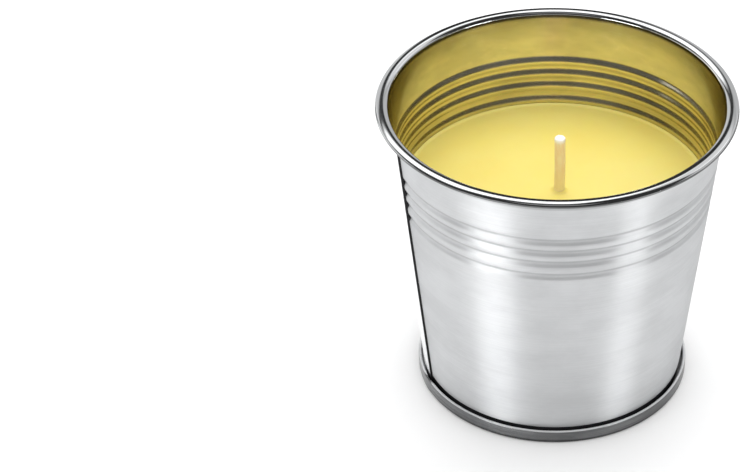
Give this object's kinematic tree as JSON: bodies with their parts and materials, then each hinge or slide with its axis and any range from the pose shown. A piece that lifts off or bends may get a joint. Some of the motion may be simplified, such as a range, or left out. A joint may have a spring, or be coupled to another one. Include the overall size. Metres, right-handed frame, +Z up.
{
  "type": "citronella candle bucket",
  "caption": "Tapered tinplate bucket with a rolled rim, ribs and a folded base seam, filled with yellow citronella wax round a standing wick.",
  "frame": {"origin": "on the surface that the bucket stands on, under the centre of its base", "axes": "+Z up along the bucket's axis, -Y towards the camera of the picture, +X to its right; the side lock seam is on the left, 18.5 degrees in front of -X"},
  "size_m": [0.11, 0.11, 0.0986],
  "materials": {
    "wall_sheet": "satin tinplate with fine brushing round the wall, brighter on the rolled rim",
    "base_sheet": "satin tinplate, a little darker",
    "wax": "translucent pale yellow wax, smooth poured surface",
    "wick": "braided cotton soaked in wax, white at the cut end",
    "tab_sheet": "plain tinplate"
  },
  "bodies": {
    "root": {"body": "wall_sheet", "base": "base_sheet", "wax": "wax", "wick": "wick", "wick_sustainer": "tab_sheet"}
  },
  "joints": []
}
